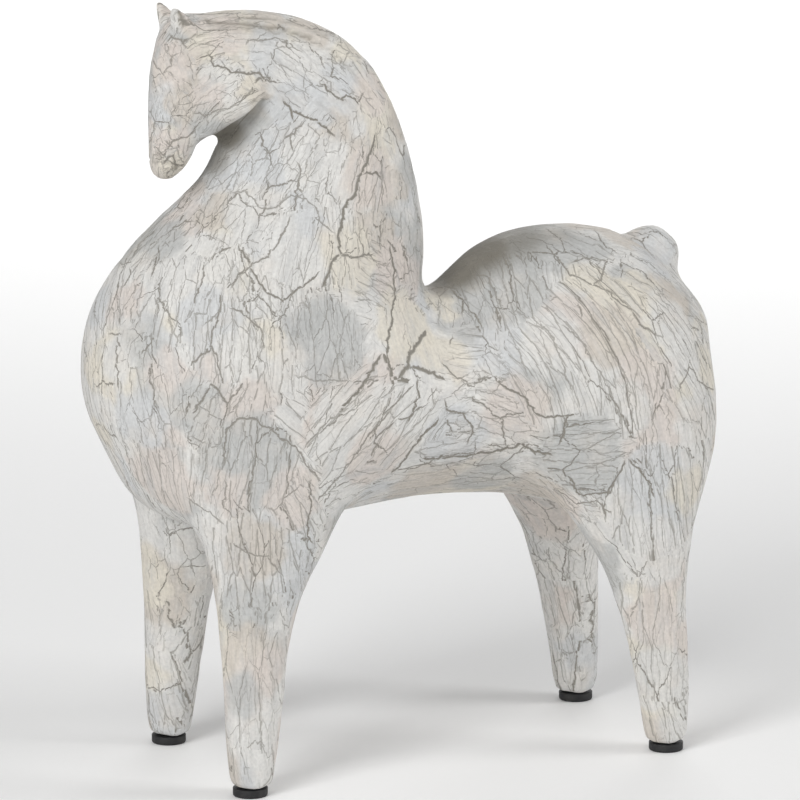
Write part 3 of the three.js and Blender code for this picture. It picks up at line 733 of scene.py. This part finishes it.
# Painted shade darkens the throat, the grooves and hollows, and the front of the rump where the neck's
# shadow falls
coat = mix(tree, maths(tree, "MULTIPLY", shade_amount, SHADE_COVER), coat, SHADE_COLOUR)
coat = mix(tree, split, coat, CRACK)
tree.links.new(coat, shader.inputs["Base Color"])
tree.links.new(grade(tree, streaks, 0.3, 0.7, 0.5, 0.7), shader.inputs["Roughness"])
height = maths(tree, "MULTIPLY_ADD", streaks, 0.2, maths(tree, "SUBTRACT", 1.0, split))
height = maths(tree, "MULTIPLY_ADD", grain, 0.35, height)
add_bump(tree, height, 0.3 * MM, 0.8)
shader.inputs["Specular IOR Level"].default_value = 0.35
mesh.materials.append(paint)
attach(horse, "root")
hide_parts("horse_casting")

# Under each foot a black rubber pad is glued, so that the statue doesn't slip or scratch.
# It is cut from sheet, and its lower edge has worn round.
PAD_RADIUS = 6.7 * MM
PAD_THICKNESS = 3.2 * MM
PAD_EDGE = 0.9 * MM
PAD_RIM = 0.15 * MM
RUBBER = (0.012, 0.012, 0.013, 1)
DUST = (0.06, 0.057, 0.052, 1)

rubber, tree, shader = new_material("black_rubber")
dust = solid_noise(tree, 260.0, 5.0)
dusty = mix(tree, grade(tree, dust, 0.5, 0.75, 0.0, 0.5), RUBBER, DUST)
tree.links.new(dusty, shader.inputs["Base Color"])
tree.links.new(maths(tree, "MULTIPLY_ADD", dust, 0.35, 0.45), shader.inputs["Roughness"])
add_bump(tree, solid_noise(tree, 1800.0, 2.0), 0.1 * MM, 0.6)

for end in ("front", "hind"):
    for side in ("left", "right"):
        low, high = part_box(f"foot_pad_{end}_{side}")
        middle = (low + high) / 2
        bpy.ops.object.select_all(action="DESELECT")
        bpy.ops.mesh.primitive_cylinder_add(
            vertices=64, radius=PAD_RADIUS, depth=PAD_THICKNESS,
            location=(middle.x, middle.y, PAD_THICKNESS / 2),
        )
        pad = bpy.context.object
        pad.name = pad.data.name = f"rubber_pad_{end}_{side}"
        bpy.ops.object.transform_apply(location=True)
        for edge in pad.data.edges:
            ends = [pad.data.vertices[v].co.z for v in edge.vertices]
            edge.select = max(ends) < 0.1 * MM
        for part in (*pad.data.vertices, *pad.data.polygons):
            part.select = False
        bpy.context.tool_settings.mesh_select_mode = (False, True, False)
        bpy.ops.object.mode_set(mode="EDIT")
        bpy.ops.mesh.bevel(offset=PAD_EDGE, segments=5, profile=0.6)
        bpy.ops.object.mode_set(mode="OBJECT")
        rim = pad.modifiers.new("rim", "BEVEL")
        rim.width = PAD_RIM
        rim.segments = 2
        rim.limit_method = "ANGLE"
        bpy.ops.object.modifier_apply(modifier="rim")
        bpy.ops.object.shade_smooth_by_angle(angle=math.radians(40))
        pad.data.materials.append(rubber)
        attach(pad, "root")
        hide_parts(f"foot_pad_{end}_{side}")

# The photograph's setting: a pale studio floor, wide soft lamps in front, a weaker one behind, and
# the camera a little above the horse, ahead of its left side.
PAPER = (0.91, 0.91, 0.905, 1)
PAPER_FIBRES = (0.93, 0.93, 0.93, 1)
LAMP_DISTANCE = 3.2

bpy.ops.object.select_all(action="DESELECT")
bpy.ops.mesh.primitive_plane_add(size=24)
floor = bpy.context.object
floor.name = "studio_floor"
paper, tree, shader = new_material("white_paper")
fibres = mix(tree, solid_noise(tree, 400.0, 3.0), PAPER, PAPER_FIBRES)
tree.links.new(fibres, shader.inputs["Base Color"])
shader.inputs["Roughness"].default_value = 0.9
floor.data.materials.append(paper)


def put(name, data, location):
    """A camera or lamp at a place, turned to the horse."""
    thing = bpy.data.objects.new(name, data)
    bpy.context.scene.collection.objects.link(thing)
    thing.location = location
    thing.rotation_euler = (TARGET - thing.location).to_track_quat("-Z", "Y").to_euler()
    return thing


camera = put("camera", bpy.data.cameras.new("camera"), TARGET + to_camera * DISTANCE)
camera.data.sensor_width = SENSOR
camera.data.lens = LENS
bpy.context.scene.camera = camera

for name, heading, watts, size in (
    ("lamp_left", (-0.8, -0.55, 0.45), 45, 1.2),
    ("lamp_right", (0.9, -0.45, 0.45), 36, 1.4),
    ("lamp_top", (-0.4, -0.4, 0.8), 17, 1.4),
    ("lamp_back", (0.45, 0.85, 0.4), 20, 1.8),
):
    towards = Vector(heading).normalized()
    lamp = put(name, bpy.data.lights.new(name, "AREA"), TARGET + towards * LAMP_DISTANCE)
    lamp.data.energy = watts
    lamp.data.size = size

# A lamp that shines straight down behind the horse keeps the background pale
lamp = put("lamp_sweep", bpy.data.lights.new("lamp_sweep", "SPOT"), (0.66, 1.57, 2.4))
lamp.rotation_euler = (0, 0, 0)
lamp.data.energy = 105
lamp.data.spot_size = math.radians(64)
lamp.data.spot_blend = 1.0
lamp.data.shadow_soft_size = 0.3

world = bpy.data.worlds.new("studio")
world.use_nodes = True
world.node_tree.nodes["Background"].inputs["Color"].default_value = (1, 1, 1, 1)
world.node_tree.nodes["Background"].inputs["Strength"].default_value = 0.35
bpy.context.scene.world = world
bpy.context.scene.view_settings.view_transform = "Standard"
